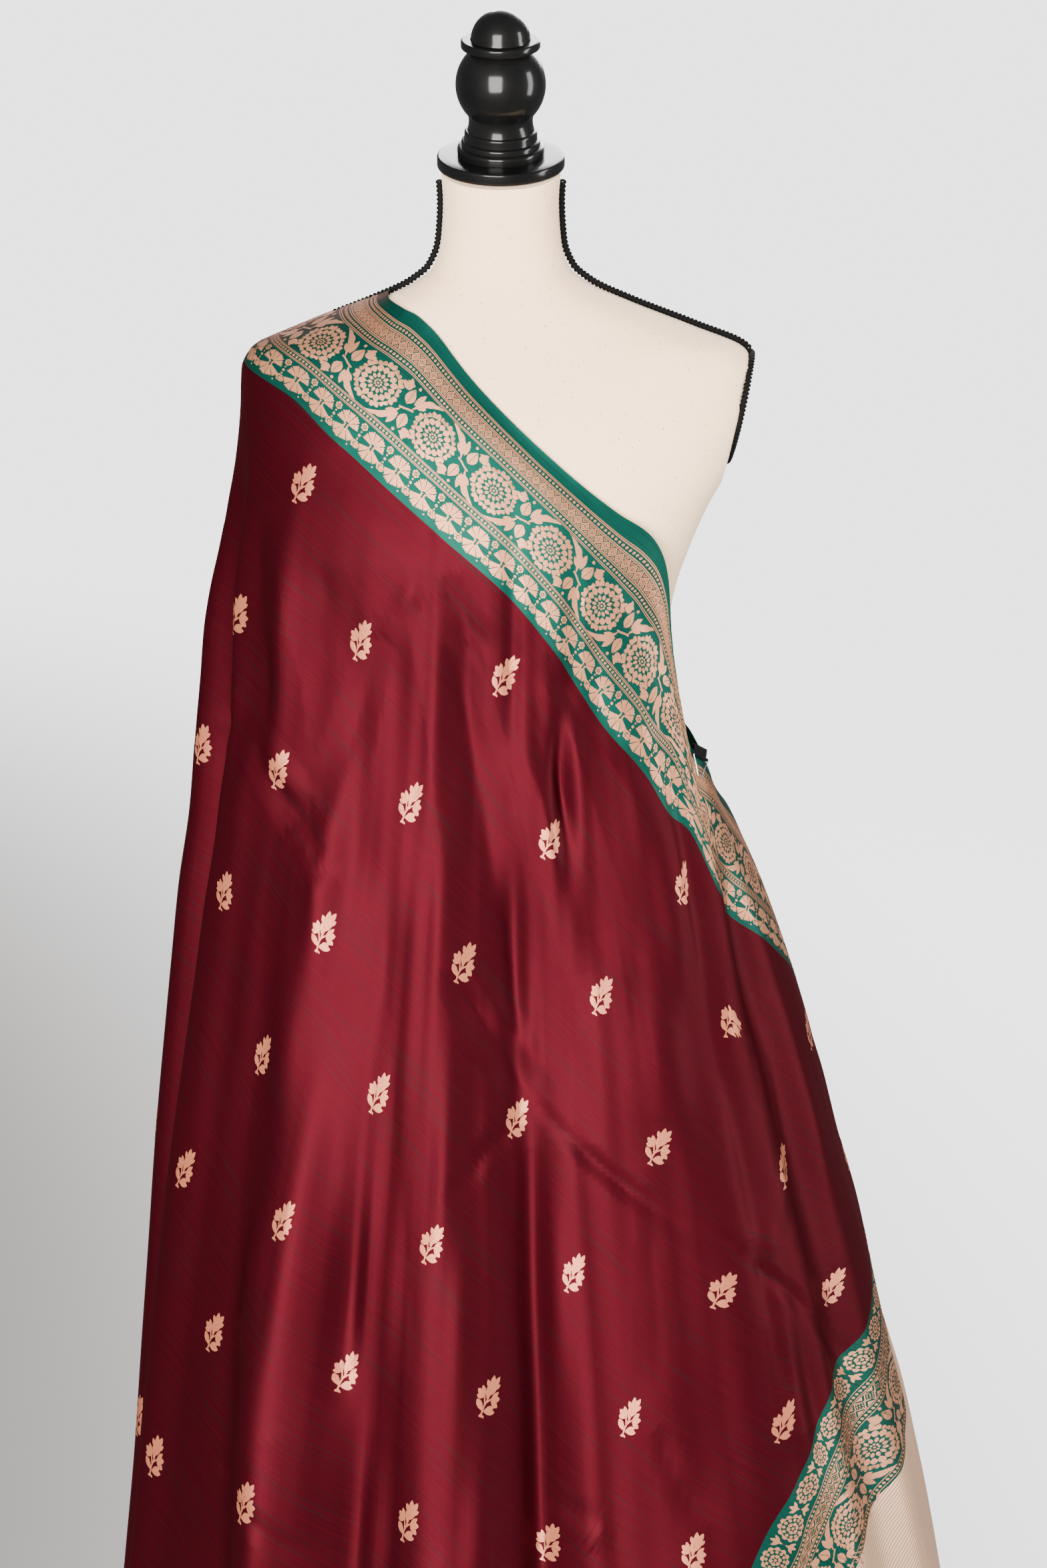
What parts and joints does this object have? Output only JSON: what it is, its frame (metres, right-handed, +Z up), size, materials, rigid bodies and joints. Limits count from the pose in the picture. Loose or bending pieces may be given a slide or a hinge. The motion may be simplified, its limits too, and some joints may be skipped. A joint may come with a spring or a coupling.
{
  "type": "sari on a dress form",
  "caption": "Maroon silk sari with a wide teal and rose-gold border, draped over one shoulder of a limbless dress form and held with a small clip.",
  "frame": {"origin": "centre of the stand's base, on the floor, under the form's pole", "axes": "+Z up, -Y the way the form faces, +X to the right in the picture, which is the form's own left"},
  "size_m": [0.7781, 0.6293, 1.6549],
  "materials": {
    "maroon_silk": "satin silk with small rose-gold woven flowers",
    "zari_border": "teal silk brocaded with rose-gold metal thread",
    "gold_tissue": "pale gold tissue with thin stripes",
    "canvas": "natural cotton canvas",
    "black_lacquer": "gloss black lacquer",
    "black_enamel": "black enamel",
    "black_gimp": "matt black braid",
    "steel": "bright nickel plate"
  },
  "bodies": {
    "sari_and_form": {"clip_body": "black_enamel", "clip_lever_back": "steel", "form_armhole_plate": "canvas", "form_finial": "black_lacquer", "form_neck_disk": "black_lacquer", "form_torso": "canvas", "gimp_armhole": "black_gimp", "gimp_neck_left": "black_gimp", "gimp_neck_right": "black_gimp", "sari_back_border": "zari_border", "sari_back_field": "maroon_silk", "sari_front_border": "zari_border", "sari_front_field": "maroon_silk", "sari_lower_border_back": "zari_border", "sari_lower_border_front": "zari_border", "sari_pallu_band": "zari_border", "sari_pallu_gold": "gold_tissue", "stand_base": "black_enamel", "stand_collar": "black_enamel", "stand_pole": "black_enamel"},
    "clip_lever": {"clip_lever_front": "steel"}
  },
  "joints": [
    {"name": "clip_lever_turn", "type": "hinge", "parent": "sari_and_form", "child": "clip_lever", "pos_m": [0.16088, -0.08751, 1.06807], "axis": [-0.5619, -0.6997, 0.4412], "range_deg": [0, 150]}
  ]
}
